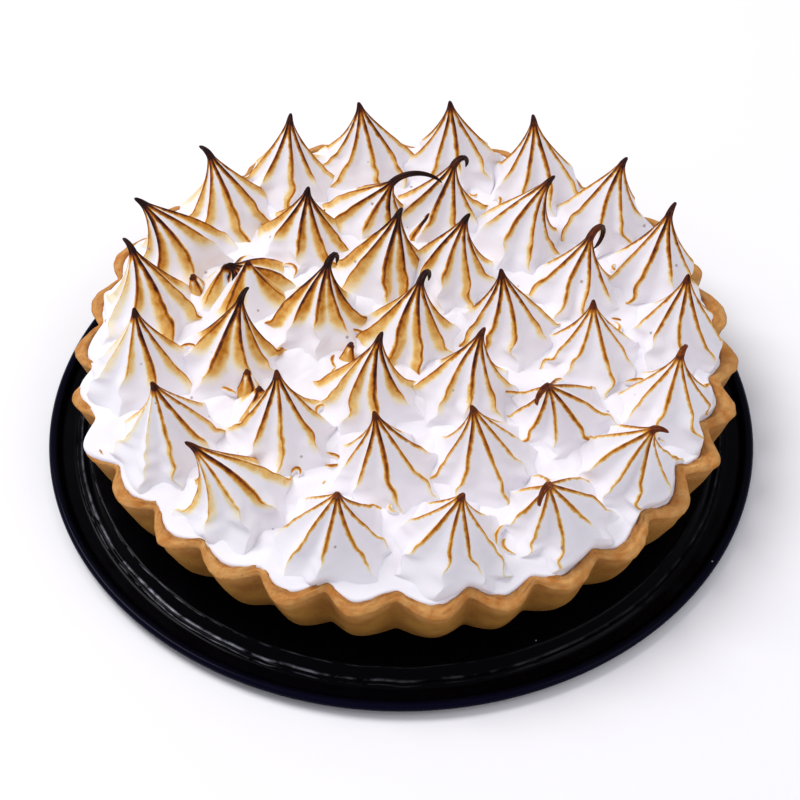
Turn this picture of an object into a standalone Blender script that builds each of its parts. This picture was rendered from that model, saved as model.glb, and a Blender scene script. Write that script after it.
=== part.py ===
"""A torched lemon meringue pie in a fluted pastry crust, on its round black cake base.

Metres, +Z up. The origin is the middle of the cake base on the table. The pie lies a few
millimetres off the middle of its base. The crust is a solid fluted disc with a shallow hollow
on top, the meringue is one body of 37 piped star peaks on a bed that fills that hollow, and
the base is a thin formed shell.
"""

import math
from dataclasses import dataclass

import bmesh
import bpy
from mathutils import Matrix, Vector

# The cake base
BASE_RADIUS = 0.1397
BASE_WALL = 0.0012
LIP_TOP = 0.0058
FLANGE_TOP = 0.0032
PLATEAU_TOP = 0.0080
PLATEAU_RADIUS = 0.1235
FOOT_INNER = 0.1295
FOOT_OUTER = 0.1345
PLATEAU_BEVEL = 0.0030
PLATEAU_BEVEL_TOP = 0.0044
LIP_WIDTH = 0.0032
LIP_ROUND = 0.0010
BASE_STEPS = 56

# The pie on its base
PIE_OFFSET = (0.0017, 0.0062)
CONTACT_GAP = 0.0003

# The crust
CRUST_RADIUS = 0.130
CRUST_FOOT_RADIUS = 0.1175
CRUST_HEIGHT = 0.029
FLUTES = 30
FIRST_LOBE = math.radians(10.5)
COLUMNS_PER_FLUTE = 8
FLUTE_DEPTH_TOP = 0.0084
FLUTE_DEPTH_FOOT = 0.0050
CREASE = 0.85
LIP_AT_LOBE = 0.0070
LIP_IN_VALLEY = 0.0034
VALLEY_RISE = 0.0014
RIM_DIP = 0.0009
RIM_ROUND = 0.0014
LIP_ROLL = 0.0010
FOOT_ROUND = 0.0012
WALL_CURVE = 0.8
WALL_FROM = 0.10
WALL_TO = 0.90
RECESS_DEPTH = 0.0060

# The meringue
BED_EDGE_RISE = 0.0004
BED_DOME = 0.0035
BED_SHOULDER = 0.105
BED_SHOULDER_POINTS = 30
SLIT = 0.0005
PEAK_ROOT = 0.0030
PEAK_RISE = 0.0300
PEAK_FOOT_RADIUS = 0.0225
PEAK_RIDGES = 8
RIDGE_DEPTH = 0.16
MERINGUE_SHIFT = (0.0020, 0.0030)
BODY_LEVELS = (0.0, 0.15, 0.43, 0.76)
LEAN_POWER = 2.0
TAPER_POWER = 1.15
NECK_RADIUS = 0.0020
TIP_RADIUS = 0.0008
OVER_LIP_HEIGHT = 0.0030
OVER_LIP_SLOPE = 0.8


@dataclass(frozen=True)
class TipKind:
    """How a piped peak ends: how high it stands, how far it leans, and how its tail curls."""

    rise: float
    reach: float
    curl: float
    tail: float
    tail_rings: int


KINDS = {
    "straight": TipKind(rise=1.06, reach=0.004, curl=15, tail=0.0032, tail_rings=1),
    "short": TipKind(rise=0.91, reach=0.004, curl=20, tail=0.0032, tail_rings=1),
    "nod": TipKind(rise=1.03, reach=0.007, curl=50, tail=0.0042, tail_rings=1),
    "lean": TipKind(rise=0.98, reach=0.013, curl=25, tail=0.005, tail_rings=1),
    "hook": TipKind(rise=0.99, reach=0.008, curl=85, tail=0.0075, tail_rings=2),
    "curl": TipKind(rise=0.95, reach=0.007, curl=190, tail=0.013, tail_rings=3),
    "loop": TipKind(rise=0.90, reach=0.008, curl=250, tail=0.022, tail_rings=4),
    "trail": TipKind(rise=0.80, reach=0.008, curl=110, tail=0.024, tail_rings=3),
    "flop": TipKind(rise=0.88, reach=0.005, curl=140, tail=0.008, tail_rings=2),
    "low": TipKind(rise=0.66, reach=0.006, curl=30, tail=0.0035, tail_rings=1),
}


@dataclass(frozen=True)
class PeakRing:
    """One ring of piped peaks, each tip named by its kind and the bearing it leans to.

    The peaks stand evenly from the first bearing on, crowded back by some degrees round the
    bearing where the hand that piped them was ahead.
    """

    radius: float
    first: float
    crowding: float
    crowded_at: float
    tips: tuple


RINGS = (
    PeakRing(0.0, 0, 0, 0, ("curl 60",)),
    PeakRing(0.037, 5, 23, 155, ("straight 120", "nod 40", "nod 50", "curl 60", "nod 60", "nod 50")),
    PeakRing(0.070, -8, 15, 165, (
        "short 90", "loop 50", "lean 30", "curl 40", "trail 0", "short 60",
        "low 210", "hook 60", "straight 100", "straight 140", "straight 160", "curl 230",
    )),
    PeakRing(0.104, 0, 10, 205, (
        "straight 70", "hook 60", "nod 40", "nod 100", "straight 110", "straight 130",
        "nod 80", "hook 140", "lean 170", "hook 130", "straight 110", "straight 170",
        "lean 170", "straight 300", "straight 340", "curl 240", "hook 330", "flop 60",
    )),
)


def flute(angle):
    """How far out the wall stands at an angle, from 0 in a valley to 1 on a lobe."""
    half_turn = FLUTES * (angle - FIRST_LOBE) / 2
    return (1 - CREASE) * math.cos(half_turn) ** 2 + CREASE * abs(math.cos(half_turn))


def ring(radius_at, height_at, count, centre=(0.0, 0.0)):
    """A closed ring of points whose radius and height are functions of the angle."""
    angles = [2 * math.pi * i / count for i in range(count)]
    return [
        Vector((
            centre[0] + radius_at(angle) * math.cos(angle),
            centre[1] + radius_at(angle) * math.sin(angle),
            height_at(angle),
        ))
        for angle in angles
    ]


def loft(name, rings, material):
    """Makes one closed body through rings, bottom first; a ring may have a fraction of the points
    of the one below it."""
    mesh = bmesh.new()
    rows = [[mesh.verts.new(point) for point in points] for points in rings]
    for lower, upper in zip(rows, rows[1:]):
        ratio = len(lower) // len(upper)
        for i in range(len(upper)):
            along = [lower[(ratio * i + k) % len(lower)] for k in range(ratio + 1)]
            mesh.faces.new((*along, upper[(i + 1) % len(upper)], upper[i]))
    for row, flip in ((rows[0], True), (rows[-1], False)):
        middle = mesh.verts.new(sum((v.co for v in row), Vector()) / len(row))
        for i, vert in enumerate(row):
            corners = (vert, row[(i + 1) % len(row)], middle)
            mesh.faces.new(tuple(reversed(corners)) if flip else corners)
    return mesh_object(name, mesh, material)


def mesh_object(name, mesh, material):
    """Turns a bmesh into an object of the scene with its material."""
    data = bpy.data.meshes.new(name)
    mesh.to_mesh(data)
    mesh.free()
    data.materials.append(material)
    return bpy.data.objects.new(name, data)


def make_material(name, colour, roughness, metallic=0.0):
    """A Principled material of one colour."""
    material = bpy.data.materials.new(name)
    material.use_nodes = True
    shader = material.node_tree.nodes["Principled BSDF"]
    shader.inputs["Base Color"].default_value = (*colour, 1.0)
    shader.inputs["Roughness"].default_value = roughness
    shader.inputs["Metallic"].default_value = metallic
    return material


def collect(name, *objects):
    """A collection in the scene that holds the given objects."""
    collection = bpy.data.collections.new(name)
    bpy.context.scene.collection.children.link(collection)
    for item in objects:
        collection.objects.link(item)
    return collection


def make_cake_base():
    """The thin black shell: a raised plateau, a flange and an upturned lip, hollow beneath."""
    wall = BASE_WALL
    top = [
        (0.0, PLATEAU_TOP),
        (PLATEAU_RADIUS, PLATEAU_TOP),
        (PLATEAU_RADIUS + PLATEAU_BEVEL, PLATEAU_BEVEL_TOP),
        (FOOT_INNER, FLANGE_TOP),
        (FOOT_OUTER, FLANGE_TOP),
        (BASE_RADIUS - LIP_WIDTH, LIP_TOP),
        (BASE_RADIUS - LIP_ROUND, LIP_TOP),
        (BASE_RADIUS, LIP_TOP - LIP_ROUND),
    ]
    under = [
        (BASE_RADIUS, LIP_TOP - 2 * wall),
        (BASE_RADIUS - 2 * wall, LIP_TOP - 2 * wall - LIP_ROUND),
        (FOOT_OUTER + wall / 2, 0.0),
        (FOOT_INNER - wall / 2, 0.0),
        (PLATEAU_RADIUS + PLATEAU_BEVEL - wall, PLATEAU_BEVEL_TOP - wall),
        (PLATEAU_RADIUS - wall, PLATEAU_TOP - wall),
        (0.0, PLATEAU_TOP - wall),
    ]
    mesh = bmesh.new()
    points = [mesh.verts.new((x, 0.0, z)) for x, z in top + under]
    for first, second in zip(points, points[1:]):
        mesh.edges.new((first, second))
    black = make_material("black_plastic", (0.006, 0.006, 0.010), 0.18)
    base = mesh_object("cake_base", mesh, black)
    turn = base.modifiers.new("Turn", "SCREW")
    turn.axis = "Z"
    turn.steps = BASE_STEPS
    turn.render_steps = BASE_STEPS
    turn.use_merge_vertices = True
    turn.merge_threshold = 0.0001
    return base


def make_crust():
    """The pastry: a fluted solid that widens upwards, with a lip and a shallow hollow on top."""
    count = FLUTES * COLUMNS_PER_FLUTE

    def wall(share):
        """The outer radius, as a function of the angle, at a share of the height."""
        lobe = CRUST_FOOT_RADIUS + (CRUST_RADIUS - CRUST_FOOT_RADIUS) * share ** WALL_CURVE
        depth = FLUTE_DEPTH_FOOT + (FLUTE_DEPTH_TOP - FLUTE_DEPTH_FOOT) * share
        return lambda angle: lobe - depth * (1 - flute(angle))

    def rim_height(angle):
        return CRUST_HEIGHT + VALLEY_RISE * (1 - flute(angle)) + RIM_DIP * math.sin(3 * angle + 1)

    rings = [
        ring(lambda angle: wall(0)(angle) - FOOT_ROUND, lambda angle: 0.0, count),
        ring(wall(WALL_FROM), lambda angle: WALL_FROM * CRUST_HEIGHT, count),
        ring(wall(WALL_TO), lambda angle: WALL_TO * rim_height(angle), count),
        ring(lambda angle: wall(1)(angle) - RIM_ROUND, rim_height, count),
        ring(lambda angle: lip_inner(angle) + LIP_ROLL, rim_height, count),
        ring(lip_inner, lambda angle: CRUST_HEIGHT - RECESS_DEPTH, count),
    ]
    pastry = make_material("baked_pastry", (0.58, 0.31, 0.09), 0.75)
    return loft("crust", rings, pastry)


def lip_inner(angle):
    """The radius of the lip's inner edge, which follows the flutes less deeply."""
    out = flute(angle)
    outer = CRUST_RADIUS - FLUTE_DEPTH_TOP * (1 - out)
    return outer - LIP_IN_VALLEY - (LIP_AT_LOBE - LIP_IN_VALLEY) * out


def bed_height(radius):
    """The height of the meringue's bed between its peaks, gently domed."""
    share = min(radius / CRUST_RADIUS, 1.0)
    return CRUST_HEIGHT + BED_EDGE_RISE + BED_DOME * (1 - share ** 2)


def make_bed(material):
    """The bed of meringue that fills the crust's hollow up to the lip."""
    count = FLUTES * COLUMNS_PER_FLUTE

    def edge(angle):
        return lip_inner(angle) - SLIT

    rings = [
        ring(edge, lambda angle: CRUST_HEIGHT - RECESS_DEPTH + CONTACT_GAP, count),
        ring(edge, lambda angle: CRUST_HEIGHT - BED_EDGE_RISE, count),
        ring(lambda angle: BED_SHOULDER, lambda angle: bed_height(BED_SHOULDER), BED_SHOULDER_POINTS),
    ]
    return loft("meringue", rings, material)


def peak_places():
    """Each peak's foot, the kind of its tip and the bearing that its tip leans to."""
    for row in RINGS:
        for i, tip in enumerate(row.tips):
            even = row.first + 360 * i / len(row.tips)
            crowd = row.crowding * max(0.0, math.cos(math.radians(even - row.crowded_at)))
            bearing = math.radians(even - crowd)
            kind, toward = tip.split()
            foot = Vector((
                MERINGUE_SHIFT[0] + row.radius * math.cos(bearing),
                MERINGUE_SHIFT[1] + row.radius * math.sin(bearing),
                0.0,
            ))
            yield foot, KINDS[kind], math.radians(float(toward))


def kept_off_lip(point):
    """Draws a point of a peak's foot in to the lip's innermost edge, and less above the lip."""
    innermost = CRUST_RADIUS - FLUTE_DEPTH_TOP - LIP_IN_VALLEY - SLIT
    above = max(0.0, point.z - CRUST_HEIGHT - OVER_LIP_HEIGHT)
    limit = innermost + OVER_LIP_SLOPE * above
    reach = math.hypot(point.x, point.y)
    shrink = min(1.0, limit / reach) if reach else 1.0
    return Vector((point.x * shrink, point.y * shrink, point.z))


def star_ring(centre, radius, toward, tilt, ridged=True):
    """A ring round a point, square to a spine tilted that way: a star of ridges, or round."""
    forward = Vector((math.cos(toward), math.sin(toward), 0.0)) * math.cos(tilt)
    forward.z = -math.sin(tilt)
    side = Vector((-math.sin(toward), math.cos(toward), 0.0))
    count = 2 * PEAK_RIDGES if ridged else PEAK_RIDGES
    points = []
    for i in range(count):
        angle = 2 * math.pi * i / count
        depth = RIDGE_DEPTH * (1 if i % 2 == 0 else -1) if ridged else 0.0
        reach = radius * (1 + depth)
        point = centre + reach * (math.cos(angle) * forward + math.sin(angle) * side)
        points.append(kept_off_lip(point))
    return points


def make_peak(name, foot, kind, toward, material):
    """One piped star: a tent that narrows to a neck, then a tail that curls over."""
    root = bed_height(foot.to_2d().length) - PEAK_ROOT
    height = CRUST_HEIGHT + PEAK_RISE * kind.rise - root
    lean = Vector((math.cos(toward), math.sin(toward), 0.0))
    rings = []
    for level in BODY_LEVELS:
        centre = foot + lean * kind.reach * level ** LEAN_POWER + Vector((0, 0, root + height * level))
        radius = NECK_RADIUS + (PEAK_FOOT_RADIUS - NECK_RADIUS) * (1 - level) ** TAPER_POWER
        tilt = math.atan2(LEAN_POWER * kind.reach * level ** (LEAN_POWER - 1), height)
        rings.append(star_ring(centre, radius, toward, tilt if level else 0.0))
    tilt = math.atan2(LEAN_POWER * kind.reach, height)
    centre = foot + lean * kind.reach + Vector((0, 0, root + height))
    step = kind.tail / kind.tail_rings
    turn = math.radians(kind.curl) / kind.tail_rings
    rings.append(star_ring(centre, NECK_RADIUS, toward, tilt, ridged=False))
    for i in range(kind.tail_rings):
        middle = tilt + turn / 2
        centre = centre + step * (lean * math.sin(middle) + Vector((0, 0, math.cos(middle))))
        tilt += turn
        share = (i + 1) / kind.tail_rings
        radius = NECK_RADIUS + (TIP_RADIUS - NECK_RADIUS) * share
        rings.append(star_ring(centre, radius, toward, tilt, ridged=False))
    return loft(name, rings, material)


def make_meringue():
    """The bed and its peaks, joined into one body."""
    white = make_material("torched_meringue", (0.86, 0.80, 0.72), 0.55)
    bed = make_bed(white)
    bpy.context.scene.collection.objects.link(bed)
    peaks = [
        make_peak(f"peak_{i:02d}", foot, kind, toward, white)
        for i, (foot, kind, toward) in enumerate(peak_places())
    ]
    piped = collect("piped_peaks", *peaks)
    union = bed.modifiers.new("Join peaks", "BOOLEAN")
    union.operation = "UNION"
    union.operand_type = "COLLECTION"
    union.collection = piped
    union.solver = "MANIFOLD"
    graph = bpy.context.evaluated_depsgraph_get()
    joined = bpy.data.meshes.new_from_object(bed.evaluated_get(graph))
    bed.modifiers.clear()
    bed.data = joined
    for peak in peaks:
        bpy.data.objects.remove(peak)
    bpy.data.collections.remove(piped)
    bpy.context.scene.collection.objects.unlink(bed)
    return bed


def place_on_base(item, offset=PIE_OFFSET):
    """Stands a piece of the pie on the plateau of the cake base."""
    height = PLATEAU_TOP + CONTACT_GAP
    item.data.transform(Matrix.Translation((offset[0], offset[1], height)))


def main():
    """Builds the cake base, the crust and the meringue."""
    for item in list(bpy.data.objects):
        bpy.data.objects.remove(item)
    base = make_cake_base()
    crust = make_crust()
    meringue = make_meringue()
    place_on_base(crust)
    place_on_base(meringue)
    collect("lemon_meringue_pie", base, crust, meringue)
    for item in (base, crust, meringue):
        item.data.shade_smooth()
        item.data.set_sharp_from_angle(angle=math.radians(50))


main()
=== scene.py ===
"""Looks of a torched lemon meringue pie: piped star peaks in a fluted crust on a black cake base.

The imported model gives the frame, in metres with +Z up. Each sub-assembly below is a class whose
fields are its sizes and whose methods build its meshes and dress them.
"""

import logging
import math
import random
from dataclasses import dataclass, field
from enum import Enum

import bmesh
import bpy
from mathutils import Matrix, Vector, noise

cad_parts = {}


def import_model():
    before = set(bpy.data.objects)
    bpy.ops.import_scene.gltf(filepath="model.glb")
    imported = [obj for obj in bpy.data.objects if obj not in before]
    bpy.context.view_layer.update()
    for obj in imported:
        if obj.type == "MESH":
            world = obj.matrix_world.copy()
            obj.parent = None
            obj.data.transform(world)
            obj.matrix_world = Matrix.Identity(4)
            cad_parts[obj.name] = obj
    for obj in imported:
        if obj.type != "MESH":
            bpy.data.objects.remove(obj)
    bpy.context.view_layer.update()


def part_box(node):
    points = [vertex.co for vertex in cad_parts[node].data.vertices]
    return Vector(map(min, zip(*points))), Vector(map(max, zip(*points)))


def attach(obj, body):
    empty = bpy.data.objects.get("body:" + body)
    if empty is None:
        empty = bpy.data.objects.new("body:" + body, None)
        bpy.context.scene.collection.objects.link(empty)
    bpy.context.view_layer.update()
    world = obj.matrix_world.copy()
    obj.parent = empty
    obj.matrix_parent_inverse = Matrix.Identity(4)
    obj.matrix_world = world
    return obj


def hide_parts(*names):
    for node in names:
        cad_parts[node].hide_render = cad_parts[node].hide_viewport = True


MM = 0.001
TORCHING = ("ridge", "torched", "band", "cap")
ATTRIBUTE = "ShaderNodeAttribute"
BUMP = "ShaderNodeBump"
CELLS = "ShaderNodeTexVoronoi"
MATH = "ShaderNodeMath"
MIX = "ShaderNodeMix"
NOISE = "ShaderNodeTexNoise"
PLACE = "ShaderNodeTexCoord"
RANGE = "ShaderNodeMapRange"
LOG = logging.getLogger("pie")


def linear(code: str) -> tuple[float, float, float, float]:
    """Turns an sRGB hex colour into linear values.

    Args:
        code: the colour as RRGGBB.

    Returns:
        Red, green, blue and alpha, linear.
    """
    parts = [int(code[i:i + 2], 16) / 255 for i in (0, 2, 4)]
    bent = [p / 12.92 if p <= 0.04045 else ((p + 0.055) / 1.055) ** 2.4 for p in parts]
    return (bent[0], bent[1], bent[2], 1.0)


def add(
    tree: bpy.types.NodeTree, kind: str, inputs: dict | tuple = (), out: str | int = 0, **settings: object,
) -> bpy.types.NodeSocket:
    """Adds a node with its settings, its values and its links.

    Args:
        tree: the node tree that gets the node.
        kind: the node's type name.
        inputs: the values, or the sockets that feed them, by the inputs' names or numbers or in order.
        out: the name or number of the output that is wanted.
        settings: the node's own properties.

    Returns:
        The output's socket.
    """
    made = tree.nodes.new(kind)
    for name, value in settings.items():
        setattr(made, name, value)
    given = inputs if isinstance(inputs, dict) else dict(enumerate(inputs))
    for name, value in given.items():
        if isinstance(value, bpy.types.NodeSocket):
            tree.links.new(value, made.inputs[name])
        else:
            made.inputs[name].default_value = value
    return made.outputs[out]


def blotches(
    tree: bpy.types.NodeTree, place: bpy.types.NodeSocket, size_mm: float, low: float, high: float,
    detail: float = 3.0,
) -> bpy.types.NodeSocket:
    """Adds a soft blotchy pattern.

    Args:
        tree: the node tree.
        place: the coordinates.
        size_mm: the size of the blotches.
        low: the value in the darkest parts.
        high: the value in the brightest parts.
        detail: how much finer blotches are laid over it.

    Returns:
        The pattern, from low to high.
    """
    soft = add(tree, NOISE, {"Vector": place, "Scale": 1 / (size_mm * MM), "Detail": detail})
    return add(tree, RANGE, (soft, 0.3, 0.7, low, high))


def dots(
    tree: bpy.types.NodeTree, place: bpy.types.NodeSocket, spacing_mm: float, inner_mm: float,
    outer_mm: float, strength: float,
) -> bpy.types.NodeSocket:
    """Adds scattered round dots with soft edges.

    Args:
        tree: the node tree.
        place: the coordinates.
        spacing_mm: how far apart the dots are.
        inner_mm: the radius up to which a dot is full.
        outer_mm: the radius at which it ends.
        strength: the value in a dot.

    Returns:
        The pattern, from 0 between the dots to the strength.
    """
    cells = add(tree, CELLS, {"Vector": place, "Scale": 1 / (spacing_mm * MM)})
    return add(tree, RANGE, (cells, inner_mm / spacing_mm, outer_mm / spacing_mm, strength, 0.0))


def new_material(name: str) -> tuple[bpy.types.Material, bpy.types.NodeTree, bpy.types.Node]:
    """Makes an empty Principled material.

    Args:
        name: the material's name.

    Returns:
        The material, its node tree and its shader.
    """
    material = bpy.data.materials.new(name)
    material.use_nodes = True
    tree = material.node_tree
    return material, tree, tree.nodes["Principled BSDF"]


def smooth(value: float, low: float, high: float) -> float:
    """Rises smoothly from 0 at low to 1 at high.

    Args:
        value: where to read the curve.
        low: where the curve starts to rise.
        high: where the curve is full.

    Returns:
        A value from 0 to 1.
    """
    share = min(1.0, max(0.0, (value - low) / (high - low)))
    return share * share * (3 - 2 * share)


def mix(first: float, second: float, share: float) -> float:
    """A value between two others."""
    return first + (second - first) * share


def hill(value: float, width: float) -> float:
    """A rounded hill, 1 at 0 and falling off over a width."""
    return math.exp(-(value / width) ** 2)


def round_about(angle: float, centre: float) -> float:
    """How far an angle is from another, the short way, in radians."""
    return (angle - centre + math.pi) % math.tau - math.pi


def turned_sheet(rows: int, columns: int) -> bmesh.types.BMesh:
    """Spins an upright line of points into a tube of radius 1 whose rows lie at heights 0, 1, 2 and on.

    Args:
        rows: the number of points in the line.
        columns: the number of steps round.

    Returns:
        The tube, ready to be drawn into shape.
    """
    sheet = bmesh.new()
    line = [sheet.verts.new((1.0, 0.0, float(row))) for row in range(rows)]
    for lower, upper in zip(line, line[1:]):
        sheet.edges.new((lower, upper))
    bmesh.ops.spin(
        sheet, geom=sheet.verts[:] + sheet.edges[:], cent=(0, 0, 0), axis=(0, 0, 1), dvec=(0, 0, 0),
        angle=math.tau, steps=columns, use_merge=True, use_normal_flip=False, use_duplicate=False,
    )
    return sheet


def finish_piece(
    name: str, sheet: bmesh.types.BMesh, material: bpy.types.Material, node: str,
) -> bpy.types.Object:
    """Closes a mesh's poles, turns its faces outwards and puts it in the scene for a CAD node.

    Args:
        name: the piece's name.
        sheet: the mesh, which is used up.
        material: its finish.
        node: the CAD node that it stands for.

    Returns:
        The piece.
    """
    bmesh.ops.remove_doubles(sheet, verts=sheet.verts[:], dist=0.00001)
    bmesh.ops.recalc_face_normals(sheet, faces=sheet.faces[:])
    data = bpy.data.meshes.new(name)
    sheet.to_mesh(data)
    sheet.free()
    data.materials.append(material)
    data.shade_smooth()
    piece = bpy.data.objects.new(name, data)
    bpy.context.scene.collection.objects.link(piece)
    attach(piece, "root")
    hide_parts(node)
    LOG.info("%s has %d faces", name, len(data.polygons))
    return piece


@dataclass(frozen=True)
class TorchedMeringue:
    """Italian meringue, piped and browned with a torch.

    It is a dense white foam, so it is matt, smooth and slightly translucent. The flame catches the
    ridges first: a thin dark line on the ridge, an amber band on the side that faced the flame, and
    nearly black tips that turn a little glossy. Small greyish dots are painted shade in tiny pits
    of the foam.
    """

    stops: tuple = (
        (0.00, "F1EEF3"), (0.05, "F2E8CC"), (0.14, "EAC478"), (0.30, "CB8628"),
        (0.46, "A25A15"), (0.64, "6C300E"), (0.84, "38160A"), (1.00, "200B08"),
    )
    # The dark line's width where it was barely torched, and what full heat adds to it.
    line_mm: tuple = (0.50, 1.25)
    glow: float = 0.46
    # Painted shade: greyish dots that stand for the shade in tiny pits of the foam.
    pit_shade: str = "9A8078"
    pit_mm: float = 0.5
    pit_spacing_mm: float = 13.0
    foam_mm: float = 0.9
    foam_depth_mm: float = 0.3
    see_into_mm: tuple = (1.8, 1.4, 1.2)

    def make(self) -> bpy.types.Material:
        """Builds the material, whose colour follows how the ridges were torched, with painted shade in small
        pits.

        Returns:
            The material.
        """
        material, tree, shader = new_material("torched_meringue")
        place = add(tree, PLACE, out="Object")
        brown = self.browned(tree, place)
        ramp = add(tree, "ShaderNodeValToRGB", (brown,))
        elements = ramp.node.color_ramp.elements
        elements[0].color, elements[1].color = linear(self.stops[0][1]), linear(self.stops[-1][1])
        for stop, code in self.stops[1:-1]:
            elements.new(stop).color = linear(code)
        shaded_pits = dots(tree, place, self.pit_spacing_mm, self.pit_mm, 1.6 * self.pit_mm, strength=0.7)
        pitted = add(tree, MIX, {0: shaded_pits, 6: ramp, 7: linear(self.pit_shade)}, out=2, data_type="RGBA")
        tree.links.new(pitted, shader.inputs["Base Color"])
        tree.links.new(add(tree, RANGE, (brown, 0.3, 0.9, 0.6, 0.5)), shader.inputs["Roughness"])
        foam = add(tree, NOISE, {"Vector": place, "Scale": 1 / (self.foam_mm * MM), "Detail": 2.0})
        bump = add(tree, BUMP, {"Height": foam, "Strength": 0.10, "Distance": self.foam_depth_mm * MM})
        tree.links.new(bump, shader.inputs["Normal"])
        shader.inputs["Subsurface Weight"].default_value = 0.18
        shader.inputs["Subsurface Radius"].default_value = [depth * MM for depth in self.see_into_mm]
        shader.inputs["Subsurface Scale"].default_value = 1.0
        shader.inputs["IOR"].default_value = 1.4
        shader.inputs["Specular IOR Level"].default_value = 0.2
        return material

    def browned(self, tree: bpy.types.NodeTree, place: bpy.types.NodeSocket) -> bpy.types.NodeSocket:
        """Adds up the dark line on a ridge, the amber band beside it and the charred tip.

        Args:
            tree: the node tree.
            place: the coordinates.

        Returns:
            The browning, 0 for white and 1 for burnt.
        """
        ridge, torched, band, cap = (
            add(tree, ATTRIBUTE, out="Fac", attribute_name=name) for name in TORCHING
        )
        patchy = blotches(tree, place, size_mm=4.0, low=0.78, high=1.12)
        heat = add(tree, MATH, (torched, patchy), operation="MULTIPLY")
        frayed = blotches(tree, place, size_mm=2.2, low=-0.22, high=0.22)
        off = add(tree, MATH, (ridge, frayed), operation="ADD")
        thin, thick = self.line_mm
        width = add(tree, MATH, (heat, thick, thin), operation="MULTIPLY_ADD")
        across = add(tree, MATH, (off, width), operation="DIVIDE")
        inside = add(tree, MATH, (1.0, across), operation="SUBTRACT")
        line = add(tree, MATH, (heat, inside), operation="MULTIPLY")
        share = add(tree, MATH, (off, band), operation="DIVIDE")
        fade = add(tree, RANGE, (share, 0.25, 1.0, 1.0, 0.0), interpolation_type="SMOOTHSTEP")
        streak = blotches(tree, place, size_mm=3.0, low=0.7 * self.glow, high=1.15 * self.glow)
        lit = add(tree, MATH, (heat, fade), operation="MULTIPLY")
        amber = add(tree, MATH, (lit, streak), operation="MULTIPLY")
        smudged = blotches(tree, place, size_mm=2.0, low=-0.06, high=0.06)
        tip = add(tree, MATH, (cap, smudged), operation="ADD")
        darker = add(tree, MATH, (line, amber), operation="MAXIMUM")
        return add(tree, MATH, (darker, tip), operation="MAXIMUM")


@dataclass(frozen=True)
class BakedPastry:
    """Shortcrust baked in a tin: dry and matt, golden on the wall, orange and crumbly on the lip, with
    painted shade down the valleys between the flutes and darker at the lip's inner edge.
    """

    wall: str = "AC7B36"
    brown: str = "855120"
    top: str = "BC7836"
    pale: str = "D3A060"
    # The painted shade in the valleys and the darker inner edge of the lip, also the colour of the dark
    # pores.
    edge: str = "7C431B"
    patch_mm: float = 11.0
    crust_mm: float = 4.5
    darkening_grain_mm: float = 2.4
    pore_spacing_mm: float = 3.2
    crumb_mm: float = 1.3
    crumb_depth_mm: float = 0.9

    def make(self) -> bpy.types.Material:
        """Builds the material, whose colour follows patches, crumb, the lip, painted shade in the valleys
        and a darker inner edge.

        Returns:
            The material.
        """
        material, tree, shader = new_material("baked_pastry")
        place = add(tree, PLACE, out="Object")
        lip, shade_and_dark_edge = (add(tree, ATTRIBUTE, out="Fac", attribute_name=name) for name in ("lip", "shade_and_dark_edge"))
        # The painted shade in the valleys and the darker inner edge, broken up by grain.
        grainy = blotches(tree, place, self.darkening_grain_mm, 0.5, 1.2)
        speckled = add(tree, MATH, (shade_and_dark_edge, grainy), operation="MULTIPLY")
        spacing = self.pore_spacing_mm
        pores = dots(tree, place, spacing, 0.06 * spacing, 0.16 * spacing, strength=0.45)
        baked = blotches(tree, place, self.crust_mm, 0.0, 1.0, 5.0)
        crusty = add(
            tree, MIX, {0: baked, 6: linear(self.top), 7: linear(self.pale)}, out=2, data_type="RGBA",
        )
        colour = linear(self.wall)
        for share, over in (
            (blotches(tree, place, self.patch_mm, 0.0, 0.75, 4.0), linear(self.brown)),
            (lip, crusty),
            (speckled, linear(self.edge)),
            (pores, linear(self.edge)),
        ):
            colour = add(tree, MIX, {0: share, 6: colour, 7: over}, out=2, data_type="RGBA")
        tree.links.new(colour, shader.inputs["Base Color"])
        crumb = add(tree, NOISE, {"Vector": place, "Scale": 1 / (self.crumb_mm * MM), "Detail": 4.0})
        bump = add(tree, BUMP, {"Height": crumb, "Strength": 0.6, "Distance": self.crumb_depth_mm * MM})
        tree.links.new(bump, shader.inputs["Normal"])
        shader.inputs["Roughness"].default_value = 0.72
        shader.inputs["IOR"].default_value = 1.4
        shader.inputs["Specular IOR Level"].default_value = 0.2
        return material


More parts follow.
